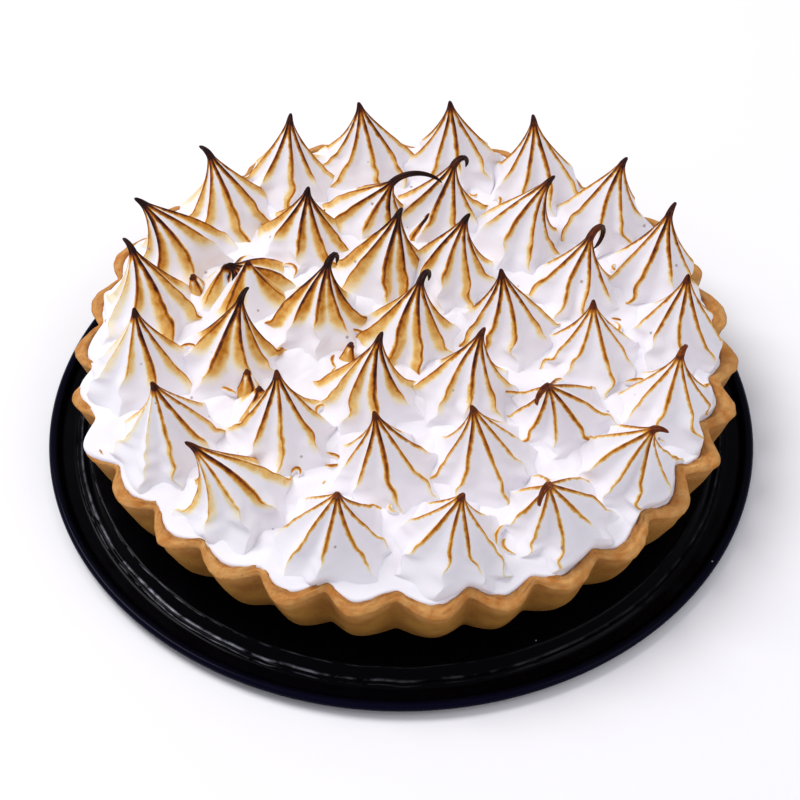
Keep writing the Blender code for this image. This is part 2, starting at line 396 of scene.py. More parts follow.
@dataclass(frozen=True)
class BlackPolystyrene:
    """Thin polystyrene sheet, black all through and formed hot.

    It is smooth and very dark. A bluish sheen is painted on the lip as a painted reflection, and the
    broken pale lines along the sharply bent edges round the plateau are painted glints, strongest on the
    lower left.
    """

    black: str = "020205"
    # Painted reflection: the bluish sheen painted on the lip.
    lip_sheen_blue: str = "06061A"
    # Painted highlight: the white of the glint lines, also used for the scattered specks.
    glint_and_speck_white: str = "C4C6D4"
    scuff_mm: float = 14.0
    drift_mm: float = 18.0
    dash_mm: float = 7.0
    speck_mm: float = 0.3
    speck_spacing_mm: float = 16.0
    # Each painted glint line's distance from the middle, half its width, and how bright it is.
    lines_mm: tuple = ((123.6, 0.24, 0.35), (126.9, 0.60, 1.1), (128.6, 0.24, 0.4))

    def make(self) -> bpy.types.Material:
        """Builds the material, with painted glint lines, a painted bluish sheen on the lip, faint scuffs and
        a few specks.

        Returns:
            The material.
        """
        material, tree, shader = new_material("black_polystyrene")
        place = add(tree, PLACE, out="Object")
        tree.links.new(blotches(tree, place, self.scuff_mm, 0.12, 0.24, 6.0), shader.inputs["Roughness"])
        colour = linear(self.black)
        for share, over in (
            (add(tree, ATTRIBUTE, out="Fac", attribute_name="lip"), self.lip_sheen_blue),
            (self.painted_glint(tree, place), self.glint_and_speck_white),
        ):
            colour = add(tree, MIX, {0: share, 6: colour, 7: linear(over)}, out=2, data_type="RGBA")
        tree.links.new(colour, shader.inputs["Base Color"])
        shader.inputs["Specular IOR Level"].default_value = 0.04
        return material

    def painted_glint(self, tree: bpy.types.NodeTree, place: bpy.types.NodeSocket) -> bpy.types.NodeSocket:
        """Draws the broken painted glint lines round the plateau and the specks.

        Args:
            tree: the node tree.
            place: the coordinates.

        Returns:
            How far the colour goes to the painted glint white or a speck's white, 0 to 1.
        """
        reach, painted_glint = (
            add(tree, ATTRIBUTE, out="Fac", attribute_name=name) for name in ("reach", "painted_glint")
        )
        drift = blotches(tree, place, self.drift_mm, -0.35, 0.35, 4.0)
        drifted = add(tree, MATH, (reach, drift), operation="ADD")
        lines = 0.0
        for middle, width, strength in self.lines_mm:
            beside = add(tree, MATH, (drifted, middle), operation="SUBTRACT")
            off = add(tree, MATH, (beside,), operation="ABSOLUTE")
            line = add(tree, MATH, (off, -strength / width, strength), operation="MULTIPLY_ADD")
            lines = add(tree, MATH, (lines, line), operation="MAXIMUM")
        broken = blotches(tree, place, self.dash_mm, -0.5, 1.2, 6.0)
        dashes = add(tree, MATH, (painted_glint, broken), operation="MULTIPLY")
        kept = add(tree, MATH, (dashes, 0.0), operation="MAXIMUM")
        dashed = add(tree, MATH, (lines, kept), operation="MULTIPLY")
        specks = dots(tree, place, self.speck_spacing_mm, self.speck_mm, 1.4 * self.speck_mm, strength=0.5)
        return add(tree, MATH, (dashed, specks), operation="MAXIMUM")


class TipKind(Enum):
    """How a peak ends: its rise as a share, its reach in metres, its curl in degrees, its tail in metres."""

    STRAIGHT = (1.06, 0.004, 15, 0.0032)
    SHORT = (0.91, 0.004, 20, 0.0032)
    NOD = (1.03, 0.007, 50, 0.0042)
    LEAN = (0.98, 0.013, 25, 0.005)
    HOOK = (0.99, 0.008, 85, 0.0075)
    CURL = (0.95, 0.007, 190, 0.013)
    LOOP = (0.90, 0.008, 250, 0.022)
    TRAIL = (0.80, 0.008, 110, 0.024)
    FLOP = (0.88, 0.005, 140, 0.008)
    LOW = (0.66, 0.006, 30, 0.0035)
    SPIKE = (1.00, 0.002, 60, 0.0015)


@dataclass(frozen=True)
class HotSpot:
    """A place where the torch was held longer."""

    x: float
    y: float
    spread: float
    gain: float


@dataclass(frozen=True)
class Stub:
    """A small spike of meringue beside the piped stars, where one was broken or pulled."""

    x: float
    y: float
    radius: float
    rise: float
    toward: float


@dataclass
class Peak:
    """One piped peak: its foot, its shape, how it ends, and how it was torched.

    Lengths are in metres, but the amber bands' breadth is in mm. The curl is in degrees, and the
    bearing that the tip leans to is in radians.
    """

    foot: Vector
    base: float
    radius: float
    rise: float
    reach: float
    curl: float
    tail: float
    toward: float
    ridges: int
    torch: float
    char: float
    broad: float
    seed: int
    start: float = field(init=False)
    swirl: float = field(init=False)
    power: list[float] = field(init=False)
    browned_to: list[float] = field(init=False)
    far: Vector = field(init=False)

    def __post_init__(self) -> None:
        """Draws how the star is turned and how unevenly its ridges were torched."""
        draw = random.Random(self.seed)
        self.swirl = draw.uniform(-0.35, 0.35)
        self.start = draw.uniform(0, math.tau)
        self.power = [draw.uniform(0.7, 1.08) for _ in range(self.ridges)]
        self.browned_to = [draw.uniform(0.68, 1.12) for _ in range(self.ridges)]
        self.far = Vector((draw.uniform(0, 50), draw.uniform(0, 50), draw.uniform(0, 50)))


@dataclass
class Pie:
    """The sizes that the pie's sub-assemblies share, as in the part's source."""

    offset: tuple[float, float] = (0.0017, 0.0062)
    crust_radius: float = 0.130
    foot_radius: float = 0.1175
    height: float = 0.029
    flutes: int = 30
    first_lobe: float = math.radians(10.5)
    depth_top: float = 0.0084
    depth_foot: float = 0.0050
    crease: float = 0.85
    lip_at_lobe: float = 0.0070
    lip_in_valley: float = 0.0034
    valley_rise: float = 0.0014
    rim_dip: float = 0.0009
    recess: float = 0.0060
    wall_curve: float = 0.8
    bed_rise: float = 0.0004
    dome: float = 0.0035
    uneven_wall: float = 0.0022
    uneven_rim: float = 0.0014
    broad_lip: float = 0.0026
    broad_at: float = math.radians(-8)
    floor: float = field(init=False)

    def __post_init__(self) -> None:
        """Reads the height that the crust stands at from the frame."""
        self.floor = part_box("crust")[0].z

    def flute(self, angle: float) -> float:
        """How far out the wall stands, the lobes slightly uneven and the valleys slightly rounded.

        Args:
            angle: the angle round the pie.

        Returns:
            From about 0 in a valley to 1 on a lobe.
        """
        spread = 0.025 * noise.noise(Vector((math.cos(angle) * 4, math.sin(angle) * 4, 21.0)))
        half = self.flutes * (angle + spread - self.first_lobe) / 2
        square = math.cos(half) ** 2
        return (1 - self.crease) * square + self.crease * math.sqrt((square + 0.012) / 1.012)

    def uneven(self, angle: float, seed: float) -> float:
        """How far a lobe differs from the others, from about -0.7 to 0.7."""
        return noise.noise(Vector((math.cos(angle) * 7, math.sin(angle) * 7, seed)))

    def wall(self, angle: float, share: float) -> float:
        """How far out the crust's wall is.

        Args:
            angle: the angle round the pie.
            share: the height, as a share of the wall's.

        Returns:
            The outer radius.
        """
        lobe = mix(self.foot_radius, self.crust_radius, max(share, 0.0) ** self.wall_curve)
        lobe += self.uneven_wall * self.uneven(angle, 3.0) * smooth(share, 0.2, 1.0)
        return lobe - mix(self.depth_foot, self.depth_top, share) * (1 - self.flute(angle))

    def lip_inner(self, angle: float) -> float:
        """The radius of the lip's inner edge at an angle; the lip is widest on the right."""
        broad = self.broad_lip * hill(round_about(angle, self.broad_at), 0.9)
        return self.wall(angle, 1.0) - mix(self.lip_in_valley, self.lip_at_lobe, self.flute(angle)) - broad

    def rim(self, angle: float) -> float:
        """The height of the crust's rim at an angle, over the pie's floor."""
        rise = self.valley_rise * (1 - self.flute(angle)) + self.rim_dip * math.sin(3 * angle + 1)
        return self.height + rise + self.uneven_rim * self.uneven(angle, 8.0)

    def bed(self, radius: float) -> float:
        """The height of the meringue's bed at a radius, over the pie's floor."""
        share = min(radius / self.crust_radius, 1.0)
        return self.height + self.bed_rise + self.dome * (1 - share ** 2)

    def place(self, spot: Vector) -> Vector:
        """Turns a point of the pie into one of the frame."""
        return spot + Vector((self.offset[0], self.offset[1], self.floor))


@dataclass
class Crust:
    """The pastry case, as one closed fluted body with a crumbly lip."""

    pie: Pie
    columns_per_flute: int = 24
    wall_rows: int = 22
    lip_rows: int = 16
    inner_rows: int = 5
    shoulder: float = 0.0026
    crumble: float = 0.0012
    foot_inset: float = 0.0014
    foot_rise: float = 0.0006
    inner_drop: float = 0.0022
    wall_ripple: float = 0.0004
    lip_ripple: float = 0.0006

    def point(self, angle: float, row: int) -> tuple[Vector, float, float]:
        """Where a point of the crust lies.

        Args:
            angle: the angle round the pie.
            row: the row, from the middle of the underside over the wall and lip to the hollow's floor.

        Returns:
            The point on the pie, how much of the lip's finish it has, and how far it is darkened: painted
            shade in the flutes' valleys and darker towards the lip's inner edge.
        """
        pie = self.pie
        last_wall = 2 + self.wall_rows
        last_lip = last_wall + self.lip_rows
        grain = Vector((math.cos(angle), math.sin(angle), 0)) * 30
        lip, shade_and_dark_edge = 0.0, 0.0
        if row == 0:
            radius, height = 0.0, 0.0
        elif row == 1:
            radius, height = pie.wall(angle, 0) - self.foot_inset, 0.0
        elif row <= last_wall:
            share = (row - 2) / self.wall_rows
            height = mix(self.foot_rise, pie.rim(angle) - self.shoulder, share)
            radius = pie.wall(angle, share * 0.92)
            radius += self.wall_ripple * noise.noise(grain * 0.5 + Vector((0, 0, height * 180)))
            lip = 0.6 * smooth(share, 0.72, 1.0)
            # Painted shade: darker down the valleys between the lobes, more towards the top.
            shade_and_dark_edge = 0.5 * (1 - pie.flute(angle)) ** 2 * smooth(share, 0.3, 1.0)
        elif row <= last_lip:
            across = (row - last_wall) / self.lip_rows
            outer, inner = pie.wall(angle, 1.0), pie.lip_inner(angle)
            radius = mix(outer, inner, across ** 1.25)
            radius += self.lip_ripple * noise.noise(grain * 1.3 + Vector((9, 0, across * 3)))
            drop = self.shoulder * (1 - across) ** 2.6 + self.inner_drop * smooth(across, 0.8, 1.0)
            rough = noise.fractal(grain + Vector((0, 0, across * 4)), 1.0, 2.0, 3)
            height = pie.rim(angle) - drop + self.crumble * rough * smooth(across, 0.1, 0.5)
            lip = mix(0.6, 1.0, smooth(across, 0.0, 0.3))
            # Darker towards the lip's inner edge.
            shade_and_dark_edge = 0.85 * smooth(across, 0.55, 0.95)
        else:
            down = (row - last_lip) / self.inner_rows
            radius = 0.0 if down == 1 else pie.lip_inner(angle)
            height = mix(pie.rim(angle) - self.inner_drop, pie.height - pie.recess, min(1.0, down * 1.2))
            shade_and_dark_edge = 1.0
        return Vector((radius * math.cos(angle), radius * math.sin(angle), height)), lip, shade_and_dark_edge

    def build(self) -> bpy.types.Object:
        """Builds the crust and dresses it as baked pastry.

        Returns:
            The piece.
        """
        rows = 3 + self.wall_rows + self.lip_rows + self.inner_rows
        sheet = turned_sheet(rows, self.pie.flutes * self.columns_per_flute)
        lip = sheet.verts.layers.float.new("lip")
        shade_and_dark_edge = sheet.verts.layers.float.new("shade_and_dark_edge")
        for vert in sheet.verts:
            angle = math.atan2(vert.co.y, vert.co.x) % math.tau
            spot, vert[lip], vert[shade_and_dark_edge] = self.point(angle, round(vert.co.z))
            vert.co = self.pie.place(spot)
        piece = finish_piece("crust_baked", sheet, BakedPastry().make(), "crust")
        return piece


@dataclass
class Meringue:
    """The bed of meringue, its 37 piped star peaks, and the small spikes and wisps among them."""

    pie: Pie
    shift: tuple[float, float] = (0.0020, 0.0030)
    rise: float = 0.0300
    foot_radius: float = 0.0225
    taper: float = 1.15
    skirt: float = 0.0040
    neck_radius: float = 0.0015
    tip_radius: float = 0.0005
    star_ridges: int = 8
    ridge_depth: float = 0.0046
    columns_per_ridge: int = 14
    body_rows: int = 46
    tail_rows: int = 16
    root: float = 0.0030
    # Each ring's radius, the bearing of its first star, how far its stars crowd together and towards
    # which bearing, and for each star how it ends and the bearing that it leans to, in degrees.
    rings: tuple = (
        (0.0, 0, 0, 0, ("curl 60",)),
        (0.037, 5, 23, 155, ("straight 120", "nod 40", "nod 50", "curl 60", "nod 60", "nod 50")),
        (0.070, -8, 15, 165, (
            "short 90", "loop 50", "lean 30", "curl 40", "trail 0", "short 60",
            "low 210", "hook 60", "straight 100", "straight 140", "straight 160", "curl 230",
        )),
        (0.104, 0, 10, 205, (
            "straight 70", "hook 60", "nod 40", "nod 100", "straight 110", "straight 130",
            "nod 80", "hook 140", "lean 170", "hook 130", "straight 110", "straight 170",
            "lean 170", "straight 300", "straight 340", "curl 240", "hook 330", "flop 60",
        )),
    )
    hot_spots: tuple = (
        HotSpot(-0.025, 0.022, 0.038, 1.0), HotSpot(-0.060, 0.005, 0.024, 0.6),
        HotSpot(-0.068, -0.070, 0.018, 0.7), HotSpot(-0.095, 0.065, 0.030, 0.5),
        HotSpot(-0.005, -0.030, 0.022, 0.4), HotSpot(-0.098, 0.000, 0.022, 0.5),
    )
    stubs: tuple = (
        Stub(-0.0619, 0.0248, 0.013, 0.022, 80), Stub(-0.0727, 0.0293, 0.011, 0.017, 20),
        Stub(-0.0592, -0.0262, 0.009, 0.014, 110), Stub(-0.0550, -0.0360, 0.012, 0.015, 90),
        Stub(-0.0463, -0.0370, 0.010, 0.015, 120), Stub(-0.0820, 0.0300, 0.008, 0.012, 200),
        Stub(-0.0220, -0.0080, 0.007, 0.010, 60), Stub(0.0080, 0.0620, 0.008, 0.014, 30),
    )
    spike_ridges: int = 3
    spike_depth: float = 0.0070
    spike_widest: float = 1.6
    wisps: int = 48
    wisp_reach: float = 0.108
    wisp_above_bed: float = 0.0045
    wisp_seed: int = 11
    wisp_width: float = 0.0012
    wisp_height: float = 0.0018
    fillet: float = 0.0042
    fillet_width: float = 0.016
    roll_radius: float = 0.0013
    # Where the bed spills over the lip: the bearing in degrees, how far, and how wide in radians.
    spills: tuple = ((201, 0.0060, 0.10), (187, 0.0035, 0.07))
    most_stray: float = 0.36
    cap_reach: float = 0.11

    def hot(self, spot: Vector) -> float:
        """How long the torch was held near a point, from 0 to about 1."""
        return sum(
            hot.gain * hill(math.hypot(spot.x - hot.x, spot.y - hot.y), 1.4 * hot.spread)
            for hot in self.hot_spots
        )

    def torched(self, foot: Vector) -> dict[str, float]:
        """How a peak was torched, more at the back and where the torch was held longer.

        Args:
            foot: where the peak stands.

        Returns:
            How hot its lines got, how charred its tip is, and how broad its amber bands are in mm.
        """
        hot = min(1.2, self.hot(foot))
        back = smooth(foot.y, -0.05, 0.06)
        return {
            "torch": 0.66 + 0.14 * back + 0.30 * hot,
            "char": min(1.0, 0.62 + 0.26 * back + 0.30 * hot),
            "broad": 0.8 + 0.8 * back + 4.6 * hot,
        }

    def stars(self) -> list[list[Peak]]:
        """Lists each ring's stars.

        Returns:
            The rings, from the middle outwards.
        """
        found = []
        for number, (radius, first, crowding, crowded_at, tips) in enumerate(self.rings):
            row = []
            for i, tip in enumerate(tips):
                even = first + 360 * i / len(tips)
                crowded = max(0.0, math.cos(math.radians(even - crowded_at)))
                bearing = math.radians(even - crowding * crowded)
                x, y = self.shift
                foot = Vector((x + radius * math.cos(bearing), y + radius * math.sin(bearing), 0.0))
                kind, toward = tip.split()
                rise, reach, curl, tail = TipKind[kind.upper()].value
                row.append(Peak(
                    foot=foot, base=self.pie.bed(foot.length) - self.root, radius=self.foot_radius,
                    rise=self.rise * rise, reach=reach, curl=curl, tail=tail,
                    toward=math.radians(float(toward)), ridges=self.star_ridges, seed=100 * number + i,
                    **self.torched(foot),
                ))
            found.append(row)
        return found

    def spikes(self, stars: list[Peak]) -> list[Peak]:
        """Lists the small spikes, each standing on what is under it.

        Args:
            stars: the piped stars.

        Returns:
            The spikes.
        """
        found = []
        share, reach, curl, tail = TipKind.SPIKE.value
        for i, stub in enumerate(self.stubs):
            spot = Vector((stub.x, stub.y, 0))
            base = self.pie.bed(spot.length) - self.root
            top = self.pie.height + stub.rise
            sunk = (top - base) / (top - self.ground(spot, stars) + self.spike_depth)
            found.append(Peak(
                foot=spot, base=base, radius=stub.radius * min(self.spike_widest, sunk),
                rise=stub.rise * share, reach=reach, curl=curl, tail=tail,
                toward=math.radians(stub.toward), ridges=self.spike_ridges, seed=500 + i,
                torch=0.85, char=0.75, broad=9.0,
            ))
        return found

    def ground(self, spot: Vector, stars: list[Peak]) -> float:
        """The height of the bed or of a star's flank at a point, over the pie's floor.

        Args:
            spot: the point.
            stars: the piped stars.

        Returns:
            The height of whatever is highest there.
        """
        best = self.pie.bed(spot.to_2d().length)
        for star in stars:
            off = (spot - star.foot).to_2d().length
            if off < star.radius:
                out = max(0.0, (off - self.neck_radius) / (star.radius - self.neck_radius))
                top = self.pie.height + star.rise
                best = max(best, mix(top, star.base, out ** (1 / self.taper)))
        return best

    def spine(self, peak: Peak) -> list[tuple[Vector, float]]:
        """Follows the middle of a peak from its root to its tip.

        Args:
            peak: the peak.

        Returns:
            For each row, the point and how far the spine tilts from upright.
        """
        height = self.pie.height + peak.rise - peak.base
        lean = Vector((math.cos(peak.toward), math.sin(peak.toward), 0))
        line = []
        for i in range(self.body_rows + 1):
            level = i / self.body_rows
            tilt = math.atan2(2 * peak.reach * level, height) * smooth(level, 0.0, 0.4)
            upward = Vector((0, 0, peak.base + height * level))
            line.append((peak.foot + lean * peak.reach * level ** 2 + upward, tilt))
        centre, tilt = line[-1]
        step = peak.tail / self.tail_rows
        turn = math.radians(peak.curl) / self.tail_rows
        for _ in range(self.tail_rows):
            middle = tilt + turn / 2
            centre = centre + step * (lean * math.sin(middle) + Vector((0, 0, math.cos(middle))))
            tilt += turn
            line.append((centre, tilt))
        return line

    def keep_off_lip(self, spot: Vector) -> Vector:
        """Draws a point of a peak's foot in, so that it ends on the bed inside the lip.

        Args:
            spot: the point on the pie.

        Returns:
            The point, moved towards the middle where it lay past the lip.
        """
        reach = math.hypot(spot.x, spot.y)
        angle = math.atan2(spot.y, spot.x)
        above = max(0.0, spot.z - self.pie.rim(angle) - 0.001)
        limit = self.pie.lip_inner(angle) + 0.0012 + 0.5 * above
        ease = 0.003
        if reach <= limit - ease:
            return spot
        eased = limit - ease * math.exp(-(reach - limit + ease) / ease)
        return Vector((spot.x * eased / reach, spot.y * eased / reach, spot.z))

    def stray(self, peak: Peak, ridge: int, drop: float) -> float:
        """How far a ridge strays round its star, and how it wriggles near the foot.

        Args:
            peak: the peak.
            ridge: the ridge's number.
            drop: how far down the body it is read, 0 at the neck and 1 at the foot.

        Returns:
            An angle in radians, so small that neighbouring ridges never cross.
        """
        far = peak.far + Vector((7.3 * (ridge % peak.ridges), 0, 0))
        lean = 0.45 * drop ** 1.3 * noise.noise(far + Vector((0, 0, 1.6 * drop)))
        wriggle = 0.22 * smooth(drop, 0.4, 0.8) * noise.noise(far + Vector((0, 3.7, 9.0 * drop)))
        return max(-self.most_stray, min(self.most_stray, lean + wriggle))

    def peak_mesh(self, peak: Peak) -> bpy.types.Mesh:
        """Builds one peak, its ridges fine and wandering towards the foot, with its browning.

        Args:
            peak: the peak.

        Returns:
            A mesh in the frame with the browning's attributes.
        """
        line = self.spine(peak)
        rows = len(line)
        lean = Vector((math.cos(peak.toward), math.sin(peak.toward), 0))
        side = Vector((-lean.y, lean.x, 0))
        size = peak.radius / self.foot_radius
        sheet = turned_sheet(rows + 2, peak.ridges * self.columns_per_ridge)
        layers = [sheet.verts.layers.float.new(name) for name in TORCHING]
        for vert in sheet.verts:
            turn = math.atan2(vert.co.y, vert.co.x) % math.tau
            row = min(max(round(vert.co.z) - 1, 0), rows - 1)
            phi = turn - 0.55 * math.sin(peak.ridges * turn) / peak.ridges
            closed = round(vert.co.z) in (0, rows + 1)
            centre, tilt = line[row]
            drop = max(0.0, 1 - row / self.body_rows)
            around = Vector((math.cos(phi), math.sin(phi), 0))
            if row <= self.body_rows:
                radius = self.neck_radius + (peak.radius - self.neck_radius) * drop ** self.taper
                radius += self.skirt * size * drop ** 6
                radius *= 1 + 0.12 * drop * noise.noise(around * 1.6 + peak.far)
            else:
                along = (row - self.body_rows) / self.tail_rows
                radius = mix(self.neck_radius, self.tip_radius, along)
                radius *= math.sqrt(1 - 0.9 * smooth(along, 0.8, 1.0) ** 2)
            crest = abs(math.sin(peak.ridges * phi / 2))
            depth = min(0.30 * radius, mix(0.0003, self.ridge_depth * size, smooth(drop, 0.0, 0.9)))
            reach = 0.0 if closed else radius + depth * (0.45 - crest)
            between = phi * peak.ridges / math.tau
            lower = math.floor(between)
            stray = mix(self.stray(peak, lower, drop), self.stray(peak, lower + 1, drop), between - lower)
            turned = peak.start + peak.swirl * drop + stray
            angle = phi + turned - peak.toward
            forward = lean * math.cos(tilt) - Vector((0, 0, math.sin(tilt)))
            spot = centre + reach * (math.cos(angle) * forward + math.sin(angle) * side)
            if not closed:
                rough = noise.noise(around * 2.2 + peak.far + Vector((0, 0, 2.5 * drop)))
                spot.z += 0.0008 * size * drop * rough
            vert.co = self.pie.place(self.keep_off_lip(spot))
            for layer, value in zip(layers, self.browning(peak, phi, turned, drop, radius)):
                vert[layer] = value
        bmesh.ops.remove_doubles(sheet, verts=sheet.verts[:], dist=0.00001)
        data = bpy.data.meshes.new("peak")
        sheet.to_mesh(data)
        sheet.free()
        return data

    def browning(
        self, peak: Peak, phi: float, turned: float, drop: float, radius: float,
    ) -> tuple[float, float, float, float]:
        """How a point of a peak was browned.

        Args:
            peak: the peak.
            phi: the angle round the star, 0 on a ridge.
            turned: how far the star is turned there.
            drop: how far down the body the point is, 0 at the neck and 1 at the foot.
            radius: the peak's radius there.

        Returns:
            How far the nearest ridge is in mm, how hot that got, how broad its amber band is in mm,
            and how charred the tip is there.
        """
        if drop == 0:
            thinned = smooth(radius, self.neck_radius, 0.6 * self.neck_radius)
            return 0.0, peak.torch, 0.5, peak.char * mix(0.80, 1.0, thinned)
        cap = peak.char * (0.80 - drop / self.cap_reach)
        spacing = math.tau / peak.ridges
        lower = math.floor(phi / spacing)
        share = phi / spacing - lower
        faces = [math.cos((lower + k) * spacing + turned) < 0 for k in (0, 1)]
        split = 0.5 + 0.3 * (faces[0] - (not faces[1]))
        upper = share >= split
        off = (share - upper) * spacing
        number = (lower + upper) % peak.ridges
        amber = faces[upper] != upper or peak.ridges < self.star_ridges
        band = peak.broad * mix(0.22, 1.0, smooth(drop, 0.05, 0.65)) if amber else 0.6
        bearing = (lower + upper) * spacing + turned
        outward = math.cos(bearing - math.atan2(peak.foot.y, peak.foot.x))
        left_edge = smooth(peak.foot.length, 0.085, 0.10) * smooth(-peak.foot.x, 0.03, 0.09)
        spared = 1 - 0.75 * left_edge * smooth(outward, 0.1, 0.8)
        browned_to = peak.browned_to[number]
        fade = 1 - smooth(drop, 0.68 * browned_to, 0.94 * browned_to)
        heat = peak.torch * peak.power[number] * spared * mix(1.22, 0.62, smooth(drop, 0.0, 0.7)) * fade
        return abs(off) * radius / MM, heat, band, cap

    def wisp_mesh(
        self, spot: Vector, heading: float, length: float, bend: float, torch: float,
    ) -> bpy.types.Mesh:
        """Builds a short thin ridge that lies on the bed, browned along its top.

        Args:
            spot: its middle, on the surface.
            heading: the way it runs.
            length: how long it is.
            bend: how far it turns over its length.
            torch: how hard it was torched.

        Returns:
            A mesh in the frame with the browning's attributes.
        """
        rows, columns = 16, 12
        sheet = turned_sheet(rows, columns)
        layers = [sheet.verts.layers.float.new(name) for name in TORCHING]
        for vert in sheet.verts:
            turn = math.atan2(vert.co.y, vert.co.x)
            along = round(vert.co.z) / (rows - 1)
            course = heading + bend * (along - 0.5)
            middle = spot + Vector((math.cos(course), math.sin(course), 0)) * length * (along - 0.5)
            across = Vector((-math.sin(course), math.cos(course), 0))
            thick = math.sqrt(max(0.0, math.sin(math.pi * along)))
            upward = Vector((0, 0, self.wisp_height * thick * math.sin(turn)))
            vert.co = self.pie.place(middle + across * self.wisp_width * thick * math.cos(turn) + upward)
            browning = (abs(turn - math.pi / 2) * 1.3, torch * thick, 1.2, -0.5)
            for layer, value in zip(layers, browning):
                vert[layer] = value
        data = bpy.data.meshes.new("wisp")
        sheet.to_mesh(data)
        sheet.free()
        return data

    def build_peaks(self, material: bpy.types.Material) -> list[bpy.types.Object]:
        """Builds the peaks ring by ring, the outer ring in two halves, and then the small bits.

        Args:
            material: the meringue's finish.

        Returns:
            The pieces.
        """
        middle, inner, second, outer = self.stars()
        stars = middle + inner + second + outer
        groups = {
            "meringue_middle_peaks": [self.peak_mesh(peak) for peak in middle + inner],
            "meringue_second_ring": [self.peak_mesh(peak) for peak in second],
            "meringue_outer_ring_back": [self.peak_mesh(peak) for peak in outer[:9]],
            "meringue_outer_ring_front": [self.peak_mesh(peak) for peak in outer[9:]],
            "meringue_spikes_and_wisps": [self.peak_mesh(peak) for peak in self.spikes(stars)],
        }
        groups["meringue_spikes_and_wisps"] += self.scatter_wisps(stars)
        made = []
        for name, parts in groups.items():
            whole = bmesh.new()
            for data in parts:
                whole.from_mesh(data)
                bpy.data.meshes.remove(data)
            piece = finish_piece(name, whole, material, "meringue")
            made.append(piece)
        return made

    def scatter_wisps(self, stars: list[Peak]) -> list[bpy.types.Mesh]:
        """Scatters wisps in the saddles between the stars.

        Args:
            stars: the piped stars.

        Returns:
            Their meshes.
        """
        draw = random.Random(self.wisp_seed)
        made = []
        while len(made) < self.wisps:
            radius, angle = self.wisp_reach * math.sqrt(draw.random()), draw.uniform(0, math.tau)
            spot = Vector((radius * math.cos(angle), radius * math.sin(angle), 0))
            height = self.ground(spot, stars)
            if height < self.pie.bed(radius) + self.wisp_above_bed:
                spot.z = height - 0.0002
                made.append(self.wisp_mesh(
                    spot, draw.uniform(0, math.tau), draw.uniform(0.005, 0.012), draw.uniform(-2.4, 2.4),
                    draw.uniform(0.2, 0.7),
                ))
        return made

    def edge(self, angle: float) -> float:
        """Where the bed's edge is, which laps over the crust's lip and spills over it on the left.

        Args:
            angle: the angle round the pie.

        Returns:
            The radius.
        """
        lap = 0.0014 + 0.0010 * noise.noise(Vector((math.cos(angle), math.sin(angle), 0)) * 9)
        spill = sum(far * hill(round_about(angle, math.radians(at)), wide) for at, far, wide in self.spills)
        return self.pie.lip_inner(angle) + lap + spill

    def build_bed(self, material: bpy.types.Material) -> bpy.types.Object:
        """Builds the bed, gently creased, that rolls over at the crust's lip.

        Args:
            material: the meringue's finish.

        Returns:
            The piece.
        """
        pie = self.pie
        columns, flat_rows, roll_rows = 480, 90, 8
        feet = [star.foot for row in self.stars() for star in row]
        sheet = turned_sheet(flat_rows + roll_rows + 2, columns)
        layers = [sheet.verts.layers.float.new(name) for name in TORCHING]
        for vert in sheet.verts:
            angle = math.atan2(vert.co.y, vert.co.x) % math.tau
            row = round(vert.co.z)
            edge = self.edge(angle)
            top = pie.rim(angle) + 0.0005
            start = edge - self.roll_radius
            if row <= flat_rows:
                radius = start * row / flat_rows
                height = mix(pie.bed(radius), top, smooth(radius, start - 0.010, start))
                spot = Vector((radius * math.cos(angle), radius * math.sin(angle), 0))
                crease = noise.fractal(spot * 90, 1.0, 2.0, 3)
                crease += 0.8 * abs(noise.noise(spot * 120 + Vector((5, 5, 5))))
                height += 0.0011 * crease * smooth(start - radius, 0.0, 0.008)
                near = sum(hill((spot - foot).length, self.fillet_width) for foot in feet)
                height += self.fillet * min(1.0, near) * smooth(start - radius, 0.0, 0.004)
            elif row <= flat_rows + roll_rows:
                roll = (row - flat_rows) / roll_rows * math.radians(120)
                radius = start + self.roll_radius * math.sin(roll)
                height = top - self.roll_radius * (1 - math.cos(roll))
            else:
                radius, height = 0.0, pie.height - pie.recess + 0.0004
            vert.co = pie.place(Vector((radius * math.cos(angle), radius * math.sin(angle), height)))
            for layer, value in zip(layers, (5.0, 0.0, 1.0, -0.5)):
                vert[layer] = value
        piece = finish_piece("meringue_bed", sheet, material, "meringue")
        return piece

    def build(self) -> None:
        """Builds the bed and the peaks in one finish."""
        material = TorchedMeringue().make()
        self.build_bed(material)
        self.build_peaks(material)


